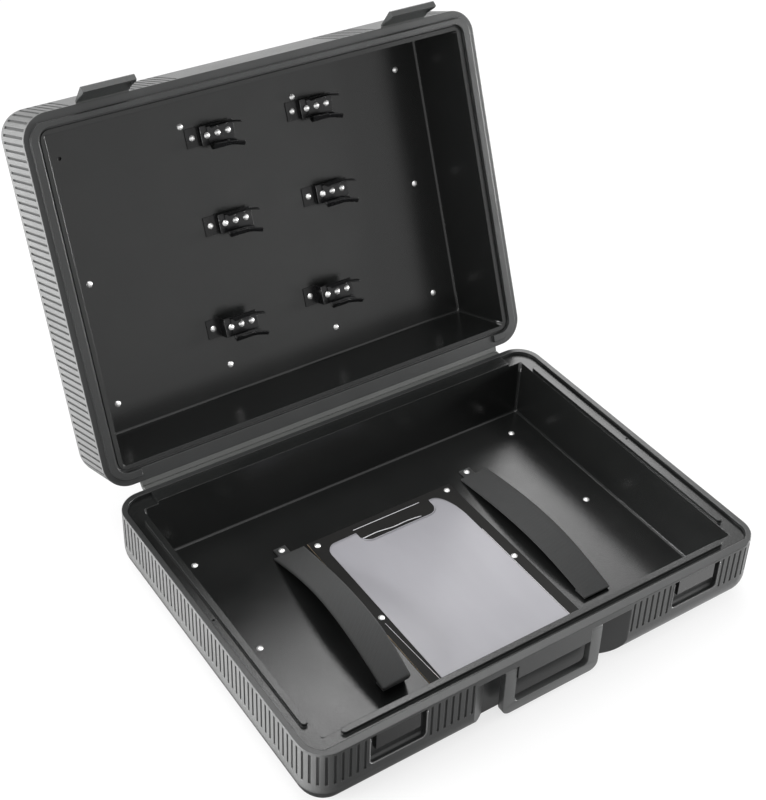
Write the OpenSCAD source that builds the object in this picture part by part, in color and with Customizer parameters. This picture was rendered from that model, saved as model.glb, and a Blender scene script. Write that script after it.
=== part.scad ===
// Hard tool case, shown open: ribbed shells, riveted inner trays, document pocket,
// two holding straps, six spring clips, two flap latches and a swinging handle.
// Millimetres, +Z up, front (handle side) towards -Y.
// Origin: centre of the underside of the base. The lid is drawn closed, then turned open.

/* [Case] */
// Outer width
case_w = 500; // [400:5:600]
// Outer depth, front to back
case_d = 368; // [300:4:440]
// Height of the base up to its rim
base_h = 70; // [60:1:110]
// Height of the lid above its rim
lid_h = 84; // [70:1:130]
// Radius of the upright corners and of the edge round the underside
corner_r = 26; // [18:1:34]
// Gap left between the closed rims
seam = 0.3; // [0.2:0.1:0.6]
// How far the lid stands open, from closed
open_deg = 111; // [95:1:120]

/* [Shells and trays] */
// Wall thickness of the base shell
wall_t = 3.2; // [2.6:0.1:3.4]
// Wall thickness of the lid shell
lid_wall = 2; // [1.8:0.1:2.6]
// Sheet thickness of the inner trays
sheet_t = 1.8; // [1.4:0.1:2.4]
// Distance from the outer face of the base to its tray opening
open_in = 21.4; // [21:0.2:26]
// Distance from the outer face of the lid to its tray opening
lid_in = 20.6; // [20:0.2:25]
// Draft of the tray walls, in from top to bottom
draft_in = 5.6; // [4:0.2:8]
// Depth of the lid tray below the rim
lid_depth = 77; // [60:1:77]
// Diameter of the bosses between lid skin and tray
boss_d = 11; // [9:0.5:14]

/* [Rim] */
// Width of the flat lip round the outside of the rim
lip_w = 5.5; // [4.5:0.5:7]
// Width of the lip along the front
front_lip = 8; // [7:0.5:9]
// Outer edge of the inner tongue, from the outer face of the case
tongue_in = 14.2; // [13:0.2:15]
// Width of the inner tongue
tongue_w = 6; // [4:0.5:6]
// Depth of the groove between lip and tongue
groove_h = 3.5; // [3:0.5:4.5]
// Distance from the front and back of the case to the ends of the side tongues
tongue_end = 39; // [36:1:64]
// Distance from the sides of the case to the ends of the front tongue and the back land
land_end = 38; // [36:1:70]
// Diameter of the vent holes in the side grooves
vent_d = 2; // [1.5:0.1:3]
// Height of the ridge of the lid that drops into the groove
ridge_h = 2.8; // [1.5:0.1:2.8]
// Clearance between ridge and groove walls
ridge_fit = 0.5; // [0.4:0.1:0.8]
// Outer edge of the lid tray's flange, from the outer face of the lid
lid_seat = 16; // [15.6:0.1:17]
// Depth of the narrow groove outside that flange
lid_groove = 2; // [1:0.5:2]

/* [Living hinge] */
// Distance from the sides of the case to the ends of the hinge web
hinge_end = 35; // [30:1:80]
// How far the crease lies behind the back wall
web_w = 5.2; // [4:0.2:7]
// Depth of the stop heels either side of the crease
heel_h = 4.6; // [3:0.2:6]
// How much deeper the heels are at the wall
heel_drop = 3; // [1:0.2:4]

/* [Handle] */
// Half width of the handle
handle_hw = 54.5; // [48:0.5:60]
// Width of each handle post
post_w = 12.5; // [10:0.5:14]
// Thickness of the handle
handle_t = 7; // [6:0.5:9]
// Height of the grip bar
grip_h = 11; // [9:0.5:14]
// Height of the handle's lower edge above the underside
handle_z = 5; // [3:0.5:9]
// Height of the handle pivot
pivot_z = 57; // [50:0.5:58]
// Depth of the recess behind the handle
recess_d = 16; // [12:0.5:17]
// Half width of the recess at the front face
recess_hw = 87; // [76:1:92]
// Half width of the recess at its back wall
recess_back = 66; // [60:1:72]
// Top of the recess
recess_z = 62.5; // [60:0.5:63]
// Lower edge of the block between the posts
block_z = 47; // [44:0.5:50]
// Diameter of the pivot pins
pin_d = 5; // [4:0.5:6]
// Clearance of the handle on its pins, on diameter
pin_fit = 0.16; // [0.1:0.02:0.2]

/* [Latches] */
// Distance from the side of the case to the middle of each latch
latch_in = 83.3; // [76:0.1:96]
// Width of the latch flap
flap_w = 53; // [44:1:58]
// Thickness of the flap
flap_t = 2.4; // [2:0.1:3]
// Depth of the flap below its crease
flap_l = 26.5; // [24:0.5:30]
// Reach of the hooked lip behind the flap
lip_reach = 4; // [3:0.5:5]
// Width of the keeper the lip hooks under
keeper_w = 44.5; // [36:0.5:46]
// Lower edge of the keeper
keeper_z = 49; // [46:0.5:52]
// Depth of the notch round the keeper
keeper_d = 5.2; // [4.8:0.1:5.4]
// Lower edge of the notch round the keeper
notch_z = 35; // [32:0.5:38]
// Radius of the lower corners of the notch
notch_r = 4; // [2:0.5:6]
// Room left beside the flap in the notch
notch_fit = 1.4; // [1:0.1:2]
// How far the flaps stand out from their closed position
flap_deg = 34; // [20:1:60]

/* [Ribs] */
// Pitch of the moulded grooves
rib_pitch = 7.2; // [6:0.1:9]
// Width of each groove
rib_w = 2.4; // [1.6:0.1:3]
// Depth of each groove
rib_d = 1; // [0.6:0.1:1]
// Lower end of the grooves of the base
rib_low = 32; // [28:1:40]
// Distance from the rim to the upper end of the grooves
rib_top = 3; // [2:0.5:6]
// Length of the grooves of the lid
rib_lid = 54; // [30:1:56]
// Distance from the recess and the notches to the nearest groove
rib_gap = 3.2; // [2.5:0.1:5]

/* [Document pocket] */
// Width of the backing sheet
backing_w = 173; // [150:1:180]
// Gap between the backing sheet and the front wall of the tray
backing_gap = 7; // [4:0.5:20]
// Length of the backing sheet
backing_l = 244; // [200:2:250]
// Thickness of the backing sheet
backing_t = 1.2; // [0.8:0.1:2]
// Thickness of the clear front of the pocket
film_t = 0.6; // [0.4:0.1:1]
// Margin between the sides of the backing sheet and the clear front
film_in = 12.5; // [10:0.5:16]
// Margin between the ends of the backing sheet and the clear front
film_end = 4.5; // [3:0.5:8]
// Radius of the back corners of the clear front
film_r = 9; // [4:1:14]
// Distance from the sides of the backing sheet to the pocket rivets
pocket_rx_in = 7.6; // [6:0.1:12]
// Distance from the ends of the backing sheet to the outer pocket rivets
pocket_ry_in = 7.2; // [6:0.1:20]
// Width of the thumb opening at the back of the clear front
thumb_w = 86; // [60:1:120]
// Depth of the thumb opening
thumb_d = 28; // [14:1:40]
// Corner radius of the thumb opening
thumb_r = 11; // [4:0.5:13]
// Distance of the thumb opening from the middle
thumb_x = 7; // [-10:1:10]

/* [Straps] */
// Distance of the back rivet of each strap from the middle of the case
strap_x = 113; // [106:1:130]
// Distance from each back rivet to the middle of its strap
strap_off = 5; // [0:0.5:8]
// Strap width
strap_w = 34; // [25:1:38]
// Strap thickness
strap_t = 2; // [1.4:0.1:3]
// Height of the arch of the left strap above the tray floor
strap_hl = 28; // [16:1:40]
// Height of the arch of the right strap above the tray floor
strap_hr = 14.5; // [12:0.5:40]
// How high the left strap still stands where it folds down in front
strap_fold = 17; // [6:1:24]
// Turn of the left strap, seen from above
strap_turn = 3.4; // [0:0.1:6]
// Distance from the back of the case to the back rivets of the straps
strap_back_in = 85.2; // [80:0.1:100]
// Distance from the front of the case to the front end of the straps
strap_front_in = 72; // [60:0.5:90]
// Share of the strap's length at which the arch is highest, from the back
strap_crest = 0.63; // [0.4:0.01:0.7]
// Length of the flat tab under each strap rivet
strap_tab = 12; // [10:0.5:16]

/* [Spring clips] */
// Distance of the left upper clips from the middle of the case
clip_left = 55.3; // [45:0.1:70]
// Distance of the right upper clips from the middle of the case
clip_right = 61.8; // [45:0.1:70]
// Distance of the left lower clip from the middle of the case
clip_left_low = 76.2; // [60:0.1:90]
// Distance of the right lower clip from the middle of the case
clip_right_low = 41; // [30:0.1:60]
// Distance from the latch side of the lid to the upper clips
clip_front_in = 70.8; // [60:0.1:90]
// Distance from the middle of the lid to the middle clips
clip_mid = 21; // [0:0.1:30]
// Distance from the hinge side of the lid to the lower clips
clip_back_in = 99.6; // [80:0.1:110]
// Width of the clip brackets
clip_w = 20; // [16:1:24]
// Sheet thickness of brackets and springs
clip_t = 1; // [0.8:0.1:1.4]
// Step of the four upper brackets off the panel
step_low = 6; // [4:0.5:10]
// Step of the two lower brackets off the panel
step_high = 14; // [10:0.5:18]
// Length of the spring arms
arm_l = 30; // [24:1:36]
// Height of the spring arms
arm_h = 15; // [12:0.5:20]
// Length of the lowered tip of the spring arms
arm_tip = 12; // [6:0.5:14]
// How much lower the tip is
arm_cut = 4.5; // [2:0.5:6]
// Reach of the bracket's flange behind its rivet
clip_flange = 7; // [5:0.5:9]
// Distance from the bracket's rivet to its riser
clip_riser = 8.6; // [7:0.1:10]
// Distance from the bracket's rivet to the first spring rivet
clip_first = 14; // [12:0.5:16]
// Distance from the bracket's rivet to the end of the platform
clip_plate = 45; // [43:0.5:52]
// Spacing of the spring rivets
clip_rp = 12; // [10:0.5:13]

/* [Rivets] */
// Head diameter
head_d = 6.5; // [5:0.1:7.5]
// Head height
head_h = 1.6; // [1.2:0.1:2.2]
// Shank diameter
shank_d = 3.2; // [2.4:0.1:4]
// Clearance of a shank in its hole, on diameter
shank_fit = 0.3; // [0.2:0.1:0.5]
// Distance from the sides of the case to the tray rivets
rivet_side = 55.5; // [48:0.1:70]
// Distance from the front and back of the case to the outer tray rivets
rivet_end = 56.7; // [48:0.1:80]
// Distance of the inner lid rivets from the middle
rivet_mid = 65.3; // [50:0.1:80]

/* [Hidden] */
$fn = 64;
eps = 0.01;
half_w = case_w / 2;
half_d = case_d / 2;
base_top = base_h - seam / 2;
lid_low = base_h + seam / 2;
lid_top = base_h + lid_h;
hinge_y = half_d + web_w;
floor_z = wall_t + sheet_t;
groove_z = base_top - groove_h;
flange_z = groove_z - sheet_t;
panel_z = lid_low + lid_depth;
shank_in = 1.4;
tongue_hl = half_d - tongue_end;
land_hl = half_w - land_end;
hinge_len = case_w - 2 * hinge_end;
latch_x = half_w - latch_in;
rivet_x = half_w - rivet_side;
rivet_y = half_d - rivet_end;
backing_front = -half_d + open_in + draft_in + backing_gap;
backing_y = backing_front + backing_l;
strap_back = half_d - strap_back_in;
strap_front = half_d - strap_front_in;
strap_l = strap_front + strap_back - strap_tab / 2;
strap_foot = 14;
boss_h = 20;
crease_y = -half_d - 1.8;
crease_z = base_h + 0.9;
handle_y = -half_d + 1 + handle_t / 2;
block_hw = handle_hw - post_w - 0.6;
clip_v = [hinge_y + half_d - clip_front_in, hinge_y + clip_mid, hinge_y - half_d + clip_back_in];
clip_at = [[-clip_left, clip_v[0], 0], [clip_right, clip_v[0], 0], [-clip_left, clip_v[1], 0],
  [clip_right, clip_v[1], 0], [-clip_left_low, clip_v[2], 1], [clip_right_low, clip_v[2], 1]];

// ---------- helpers ----------

// rounded rectangle of the case outline, drawn in by i
module outline(i) {
  r = max(corner_r - i, 3);
  square([case_w - 2 * i - 2 * r, case_d - 2 * i], center = true);
  square([case_w - 2 * i, case_d - 2 * i - 2 * r], center = true);
  for (sx = [-1, 1], sy = [-1, 1])
    translate([sx * (half_w - i - r), sy * (half_d - i - r)])
      circle(r);
}

// quarter disc for the rounded lower edge
module quarter(r) {
  intersection() {
    circle(r);
    translate([0, -r])
      square(r);
  }
}

// closed tub drawn in by i on all sides, walls up to h
module tub(i, h) {
  r = corner_r - i;
  translate([0, 0, corner_r])
    linear_extrude(h - corner_r)
      outline(i);
  translate([0, 0, i + r / 2])
    cube([case_w - 2 * corner_r, case_d - 2 * corner_r, r], center = true);
  for (s = [0, 1])
    mirror([s, 0, 0])
      translate([half_w - corner_r, half_d - corner_r, corner_r])
        rotate([90, 0, 0])
          linear_extrude(case_d - 2 * corner_r)
            quarter(r);
  for (s = [0, 1])
    mirror([0, s, 0])
      translate([-half_w + corner_r, half_d - corner_r, corner_r])
        rotate([90, 0, 90])
          linear_extrude(case_w - 2 * corner_r)
            quarter(r);
  for (sx = [0, 1], sy = [0, 1])
    mirror([sx, 0, 0])
      mirror([0, sy, 0])
        translate([half_w - corner_r, half_d - corner_r, corner_r])
          rotate_extrude(angle = 90)
            quarter(r);
}

// four-sided hollow with drafted walls: inset ia at the mouth z1, ib at the far end z0
module well(ia, ib, z0, z1) {
  intersection() {
    rotate([90, 0, 0])
      translate([0, 0, -half_d])
        linear_extrude(case_d)
          polygon([[-half_w + ib, z0], [half_w - ib, z0], [half_w - ia, z1], [-half_w + ia, z1]]);
    rotate([90, 0, 90])
      translate([0, 0, -half_w])
        linear_extrude(case_w)
          polygon([[-half_d + ib, z0], [half_d - ib, z0], [half_d - ia, z1], [-half_d + ia, z1]]);
  }
}

// plan of the seat inside the lip, drawn in by a clearance
module seat(c) {
  intersection() {
    outline(lip_w + c);
    translate([-half_w, -half_d + front_lip + c])
      square([case_w, case_d]);
  }
}

// domed rivet standing on z = 0 with its shank below
module rivet(len) {
  r = (head_d * head_d / 4 + head_h * head_h) / (2 * head_h);
  intersection() {
    translate([0, 0, head_h - r])
      sphere(r);
    cylinder(h = head_h + 1, d = head_d + 1);
  }
  translate([0, 0, -len])
    cylinder(h = len + 0.05, d = shank_d);
}

module shank_hole(h) {
  translate([0, 0, -h])
    cylinder(h = 2 * h, d = shank_d + shank_fit);
}

// turns everything drawn with the lid closed to the open position
module opened() {
  translate([0, hinge_y, base_h])
    rotate([-open_deg, 0, 0])
      translate([0, -hinge_y, -base_h])
        children();
}

// place on the inner face of the lid panel: x across, v from the crease, z out of the panel
module on_panel(x, v) {
  translate([x, hinge_y - v, panel_z])
    rotate([180, 0, 0])
      children();
}

// ---------- base ----------

// plan of the handle recess, walls grown by g
module recess_plan(g) {
  polygon([[-recess_hw - g, -half_d - 1], [-recess_hw - g, -half_d],
    [-recess_back - g, -half_d + recess_d + g], [recess_back + g, -half_d + recess_d + g],
    [recess_hw + g, -half_d], [recess_hw + g, -half_d - 1]]);
}

// pocket in the front wall round a keeper, its lower corners rounded, walls grown by g
module notch(s, g) {
  w = flap_w / 2 + notch_fit + g;
  r = notch_r + g;
  z0 = notch_z - g;
  z1 = base_top - 2.5;
  translate([s * latch_x, -half_d + keeper_d + g, 0])
    rotate([90, 0, 0])
      linear_extrude(keeper_d + 1 + g) {
        translate([-w, z0 + r])
          square([2 * w, z1 - z0 - r]);
        translate([-w + r, z0])
          square([2 * (w - r), r + 1]);
        translate([-w + r, z0 + r])
          circle(r);
        translate([w - r, z0 + r])
          circle(r);
      }
}

// marks of the upright grooves in plan: along the sides, round the corners, and in zones of
// the front and back that leave the recess, the latches and the hinge plain
module rib_marks() {
  n = floor((half_d - corner_r) / rib_pitch);
  step = rib_pitch / corner_r * 180 / PI;
  first = ((n + 1) * rib_pitch - (half_d - corner_r)) / corner_r * 180 / PI;
  m = floor((90 - first) / step);
  rest = (90 - first - m * step) * PI / 180 * corner_r;
  outer = half_w - corner_r - rib_pitch + rest;
  notch_hw = flap_w / 2 + notch_fit + rib_gap;
  for (sx = [-1, 1], k = [-n:n])
    translate([sx * half_w, k * rib_pitch])
      square([2 * rib_d, rib_w], center = true);
  for (mx = [0, 1], my = [0, 1], k = [0:m])
    mirror([mx, 0])
      mirror([0, my])
        translate([half_w - corner_r, half_d - corner_r])
          rotate(first + k * step)
            translate([corner_r, 0])
              square([2 * rib_d, rib_w], center = true);
  for (sx = [-1, 1], x = [outer:-rib_pitch:latch_x + notch_hw])
    translate([sx * x, -half_d])
      square([rib_w, 2 * rib_d], center = true);
  for (sx = [-1, 1], x = [outer:-rib_pitch:hinge_len / 2 + rib_gap])
    translate([sx * x, half_d])
      square([rib_w, 2 * rib_d], center = true);
  for (sx = [-1, 1], x = [recess_hw + rib_gap:rib_pitch:latch_x - notch_hw])
    translate([sx * x, -half_d])
      square([rib_w, 2 * rib_d], center = true);
}

// hollow between shell and tray, leaving walls round the recess, the notches and the pivot block
module base_hollow() {
  difference() {
    tub(wall_t, flange_z - wall_t);
    linear_extrude(base_h)
      recess_plan(wall_t);
    notch(-1, wall_t);
    notch(1, wall_t);
  }
}

module handle_recess() {
  difference() {
    translate([0, 0, -1])
      linear_extrude(recess_z + 1)
        recess_plan(0);
    translate([-block_hw, -half_d, block_z])
      cube([2 * block_hw, recess_d + 1, recess_z - block_z + 1]);
  }
}

module floor_holes() {
  translate([0, 0, -sheet_t])
    floor_spots()
      shank_hole(shank_in + 0.1);
  translate([0, 0, -sheet_t])
    pocket_spots()
      shank_hole(shank_in + 0.1);
  translate([0, 0, -sheet_t])
    strap_spots()
      shank_hole(shank_in + 0.1);
}

module base_shell() {
  color("#2b2c2c")
    difference() {
      tub(0, base_top);
      base_hollow();
      well(open_in - sheet_t, open_in + draft_in - sheet_t, wall_t, groove_z);
      translate([0, 0, flange_z])
        linear_extrude(base_h)
          seat(0);
      handle_recess();
      notch(-1, 0);
      notch(1, 0);
      floor_holes();
      translate([0, 0, rib_low])
        linear_extrude(base_h - rib_top - rib_low)
          rib_marks();
      translate([-block_hw - eps, handle_y, pivot_z])
        rotate([0, 90, 0])
          cylinder(h = 8, d = pin_d);
      translate([block_hw + eps, handle_y, pivot_z])
        rotate([0, -90, 0])
          cylinder(h = 8, d = pin_d);
    }
}

module floor_spots() {
  for (sx = [-1, 1], y = [-rivet_y, 0, rivet_y])
    translate([sx * rivet_x, y, floor_z])
      children();
}

// plan places of the six pocket rivets
module pocket_plan() {
  for (sx = [-1, 1], k = [0, 0.5, 1])
    translate([sx * (backing_w / 2 - pocket_rx_in),
      backing_y - pocket_ry_in - k * (backing_l - 2 * pocket_ry_in)])
      children();
}

module pocket_spots() {
  translate([0, 0, floor_z])
    pocket_plan()
      children();
}

// back and front rivets of both straps
module strap_spots() {
  for (s = [-1, 1]) {
    translate([s * strap_x, strap_back, floor_z])
      children();
    on_strap(s, s < 0 ? strap_turn : 0)
      translate([0, strap_foot - strap_l, 0])
        children();
  }
}

// place of a strap: y runs back to front along it from its back fold, x across
module on_strap(s, turn) {
  translate([s * strap_x + strap_off, strap_back - strap_tab / 2, floor_z])
    rotate([0, 0, -turn])
      children();
}

// bars with round ends and land that stand on the flange up to the rim
module tongue() {
  for (sx = [-1, 1]) {
    translate([sx * (half_w - tongue_in - tongue_w / 2), 0])
      square([tongue_w, 2 * tongue_hl - tongue_w], center = true);
    for (sy = [-1, 1])
      translate([sx * (half_w - tongue_in - tongue_w / 2), sy * (tongue_hl - tongue_w / 2)])
        circle(d = tongue_w);
    translate([sx * (land_hl - tongue_w / 2), -half_d + tongue_in + tongue_w / 2])
      circle(d = tongue_w);
  }
  translate([0, -half_d + tongue_in + tongue_w / 2])
    square([2 * land_hl - tongue_w, tongue_w], center = true);
  translate([-land_hl, half_d - open_in - 1])
    square([2 * land_hl, open_in - lip_w + 1]);
}

module base_tray() {
  color("#232424")
    difference() {
      union() {
        well(open_in - sheet_t, open_in + draft_in - sheet_t, wall_t, groove_z);
        translate([0, 0, flange_z])
          linear_extrude(sheet_t)
            seat(0);
        translate([0, 0, flange_z])
          linear_extrude(base_top - flange_z)
            tongue();
      }
      well(open_in, open_in + draft_in, floor_z, base_top + eps);
      floor_spots()
        shank_hole(sheet_t + 1);
      pocket_spots()
        shank_hole(sheet_t + 1);
      strap_spots()
        shank_hole(sheet_t + 1);
      for (sx = [-1, 1])
        translate([sx * (half_w - (lip_w + tongue_in) / 2), 0, flange_z - 1])
          cylinder(h = base_h, d = vent_d);
    }
}

module base_tray_rivets() {
  color("#d8d8d6")
    floor_spots()
      rivet(sheet_t + shank_in);
}

// half of the living hinge with the heel that stops the lid
module leaf(s) {
  a = open_deg / 2;
  g = seam / 2;
  y1 = hinge_y - g;
  translate([-hinge_len / 2, 0, base_h])
    rotate([90, 0, 90])
      linear_extrude(hinge_len)
        polygon([[half_d, -s * g], [y1, -s * g], [y1 + heel_h * cos(a) / sin(a), -s * (g + heel_h)],
          [half_d, -s * (g + heel_h + heel_drop)]]);
}

module hinge_leaf_base() {
  color("#313232")
    leaf(1);
}

module keeper(s) {
  y0 = -half_d + 0.2;
  y1 = -half_d + keeper_d;
  color("#2b2c2c")
    translate([s * latch_x - keeper_w / 2, 0, 0])
      rotate([90, 0, 90])
        linear_extrude(keeper_w)
          polygon([[y0, keeper_z + 1], [y0 + 1, keeper_z], [y1, keeper_z], [y1, base_top - 2.5],
            [y0, base_top - 2.5]]);
}

module pocket_backing() {
  color("#2d2b2c")
    difference() {
      translate([-backing_w / 2, backing_y - backing_l, floor_z])
        cube([backing_w, backing_l, backing_t]);
      pocket_spots()
        shank_hole(3);
    }
}

// clear front of width w from y0 to y1, its back corners rounded
module film_plan(w, y0, y1) {
  translate([-w / 2, y0])
    square([w, y1 - film_r - y0]);
  translate([film_r - w / 2, y0])
    square([w - 2 * film_r, y1 - y0]);
  for (sx = [-1, 1])
    translate([sx * (w / 2 - film_r), y1 - film_r])
      circle(film_r);
}

module pocket_front() {
  w = backing_w - 2 * film_in;
  color("#b2b1b7")
    translate([0, 0, floor_z + backing_t])
      linear_extrude(film_t)
        difference() {
          film_plan(w, backing_y - backing_l + film_end, backing_y - film_end);
          translate([thumb_x - thumb_w / 2, backing_y - thumb_d + thumb_r])
            square([thumb_w, thumb_d]);
          translate([thumb_x - thumb_w / 2 + thumb_r, backing_y - thumb_d])
            square([thumb_w - 2 * thumb_r, thumb_d]);
          for (sx = [-1, 1])
            translate([thumb_x + sx * (thumb_w / 2 - thumb_r), backing_y - thumb_d + thumb_r])
              circle(thumb_r);
        }
}

module pocket_rivets() {
  color("#d8d8d6")
    pocket_spots()
      translate([0, 0, backing_t])
        rivet(sheet_t + backing_t + shank_in);
}

// height of a strap's lower face: quarter waves up to the crest and down to height f in front
function strap_rise(t, h, f) = t < strap_crest ? h * sin(90 * t / strap_crest)
  : f + (h - f) * cos(90 * (t - strap_crest) / (1 - strap_crest));

// arched strap in the (y, z) plane, riveted through its back tab; in front it comes down to the
// floor and turns under itself
module strap(s, h, f, turn) {
  n = 24;
  l = strap_l;
  low = [for (i = [0:n]) [-l * i / n, strap_rise(i / n, h, f)]];
  high = [for (i = [n:-1:0]) [-l * i / n, strap_rise(i / n, h, f) + strap_t]];
  color("#393b3b")
    difference() {
      on_strap(s, turn)
        translate([-strap_w / 2, 0, 0])
          rotate([90, 0, 90]) {
            linear_extrude(strap_w) {
              polygon(concat(low, high));
              translate([-l - strap_t / 2, 0])
                square([strap_t, f + strap_t]);
              translate([-l, 0])
                square([strap_foot + 4, strap_t]);
            }
            translate([-4, 0, 0])
              linear_extrude(strap_w - 2 * strap_off)
                square([strap_tab + 4, strap_t]);
          }
      strap_spots()
        shank_hole(4);
    }
}

module strap_left() {
  strap(-1, strap_hl, strap_fold, strap_turn);
}

module strap_right() {
  strap(1, strap_hr, 0, 0);
}

module strap_rivets() {
  color("#d8d8d6")
    strap_spots()
      translate([0, 0, strap_t])
        rivet(sheet_t + strap_t + shank_in);
}

module handle_pins() {
  color("#9a9a98")
    for (s = [0, 1])
      mirror([s, 0, 0])
        translate([block_hw - 7.9, handle_y, pivot_z])
          rotate([0, 90, 0])
            cylinder(h = post_w - 3 + 7.9, d = pin_d);
}

// ---------- handle ----------

module handle() {
  hi = handle_hw - post_w;
  ri = 5;
  ro = 9;
  top = pivot_z;
  color("#333434")
    difference() {
      union() {
        translate([0, handle_y + handle_t / 2, 0])
          rotate([90, 0, 0])
            linear_extrude(handle_t)
              difference() {
                union() {
                  translate([-handle_hw, handle_z + ro])
                    square([2 * handle_hw, top - handle_z - ro]);
                  translate([-handle_hw + ro, handle_z])
                    square([2 * (handle_hw - ro), ro + 1]);
                  translate([-handle_hw + ro, handle_z + ro])
                    circle(ro);
                  translate([handle_hw - ro, handle_z + ro])
                    circle(ro);
                }
                translate([-hi, handle_z + grip_h + ri])
                  square([2 * hi, top]);
                translate([-hi + ri, handle_z + grip_h])
                  square([2 * (hi - ri), ri + 1]);
                translate([-hi + ri, handle_z + grip_h + ri])
                  circle(ri);
                translate([hi - ri, handle_z + grip_h + ri])
                  circle(ri);
              }
        for (s = [0, 1])
          mirror([s, 0, 0])
            translate([hi, handle_y, pivot_z])
              rotate([0, 90, 0])
                cylinder(h = post_w, d = handle_t);
      }
      for (s = [0, 1])
        mirror([s, 0, 0])
          translate([hi - 1, handle_y, pivot_z])
            rotate([0, 90, 0])
              cylinder(h = post_w - 2, d = pin_d + pin_fit);
    }
}

// ---------- lid ----------

// draws its children upside down from the top of the lid
module from_top() {
  translate([0, 0, lid_top])
    mirror([0, 0, 1])
      children();
}

module lid_shell() {
  h = lid_top - lid_low;
  color("#2b2c2c")
    opened() {
      difference() {
        from_top()
          tub(0, h);
        difference() {
          from_top()
            tub(lid_wall, h - sheet_t - 2 * lid_wall);
          panel_spots()
            translate([0, 0, -boss_h])
              cylinder(h = boss_h - sheet_t, d = boss_d);
        }
        from_top()
          well(lid_in - sheet_t, lid_in + draft_in - sheet_t, lid_top - panel_z - sheet_t, h);
        translate([0, 0, lid_low - 1])
          linear_extrude(1 + sheet_t)
            outline(lid_seat);
        translate([0, 0, lid_low - 1])
          linear_extrude(1 + lid_groove)
            difference() {
              outline(tongue_in - 0.4);
              outline(lid_seat + 1);
            }
        panel_spots()
          translate([0, 0, -sheet_t])
            shank_hole(shank_in + 0.1);
        translate([0, 0, base_h + rib_top])
          linear_extrude(rib_lid)
            rib_marks();
      }
      difference() {
        translate([0, 0, lid_low - ridge_h])
          linear_extrude(ridge_h + eps)
            difference() {
              seat(ridge_fit);
              outline(tongue_in - ridge_fit);
            }
        translate([-land_hl - 1, half_d - open_in, 0])
          cube([2 * land_hl + 2, 2 * open_in, 2 * base_h]);
      }
    }
}

// rivet places of the lid tray; one corner hole stays empty
module panel_spots(empty = false) {
  for (sx = [-1, 1], y = [-rivet_y, 0, rivet_y])
    if (!empty || sx > 0 || y > -rivet_y)
      on_panel(sx * rivet_x, hinge_y - y)
        children();
  for (sx = [-1, 1], sy = [-1, 1])
    on_panel(sx * rivet_mid, hinge_y - sy * rivet_y)
      children();
}

module lid_tray() {
  color("#3a3c3b")
    opened()
      difference() {
        union() {
          from_top()
            well(lid_in - sheet_t, lid_in + draft_in - sheet_t, lid_top - panel_z - sheet_t,
              lid_top - lid_low);
          translate([0, 0, lid_low])
            linear_extrude(sheet_t)
              outline(lid_seat);
        }
        from_top()
          well(lid_in, lid_in + draft_in, lid_top - panel_z, lid_top - lid_low + eps);
        panel_spots()
          shank_hole(sheet_t + 1);
        for (c = clip_at)
          on_panel(c[0], c[1])
            shank_hole(sheet_t + 1);
      }
}

module lid_tray_rivets() {
  color("#d8d8d6")
    opened()
      panel_spots(empty = true)
        rivet(sheet_t + shank_in);
}

module hinge_leaf_lid() {
  color("#313232")
    opened()
      leaf(-1);
}

// ---------- latches ----------

module flap_web(s) {
  y0 = crease_y + 0.2;
  color("#313232")
    opened()
      translate([s * latch_x - flap_w / 2, 0, crease_z])
        rotate([90, 0, 90])
          linear_extrude(flap_w)
            polygon([[y0, -0.1], [-half_d, -0.7], [-half_d, 0.9], [y0, 0.4]]);
}

// flap drawn closed: plate in front of the keeper, hooked lip below, cheeks at the ends
module flap(s) {
  z0 = crease_z - flap_l;
  y0 = -half_d - 0.4 - flap_t;
  yi = y0 + flap_t;
  reach = lip_reach + 0.4 + flap_t;
  color("#2f3030")
    opened()
      translate([s * latch_x, crease_y, crease_z])
        rotate([-flap_deg, 0, 0])
          translate([-s * latch_x, -crease_y, -crease_z]) {
            translate([s * latch_x - flap_w / 2, 0, 0])
              rotate([90, 0, 90])
                linear_extrude(flap_w)
                  polygon([[y0, z0 + 1.2], [y0 + 1.2, z0], [y0 + reach, z0], [y0 + reach, z0 + 2.8],
                    [yi, z0 + 3.6], [yi, crease_z - 1.8], [crease_y + 0.1, crease_z - 0.3],
                    [crease_y - 0.6, crease_z - 0.3], [y0, crease_z - 0.9]]);
            for (e = [-1, 1])
              translate([s * latch_x + e * (flap_w / 2 - 1) - 1, 0, 0])
                rotate([90, 0, 90])
                  linear_extrude(2)
                    polygon([[y0 + 0.5, z0 + 1], [y0 + reach, z0 + 1], [y0 + reach, z0 + 3.5],
                      [yi + 0.1, crease_z - 7], [y0 + 0.5, crease_z - 7]]);
          }
}

// ---------- spring clips ----------

// Z-bent bracket: flange on the panel, riser, raised platform
module bracket(k) {
  r = clip_riser;
  c = clip_at[k];
  h = (c[2] == 0 ? step_low : step_high);
  color("#1d1e1e")
    opened()
      on_panel(c[0], c[1])
        difference() {
          rotate([90, 0, 0])
            translate([0, 0, -clip_w / 2])
              linear_extrude(clip_w)
                polygon([[-clip_flange, 0], [r, 0], [r, h - clip_t], [clip_plate, h - clip_t],
                  [clip_plate, h], [r - clip_t, h], [r - clip_t, clip_t], [-clip_flange, clip_t]]);
          shank_hole(3);
          for (j = [0, 1, 2])
            translate([clip_first + j * clip_rp, 0, h])
              shank_hole(3);
        }
}

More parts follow.
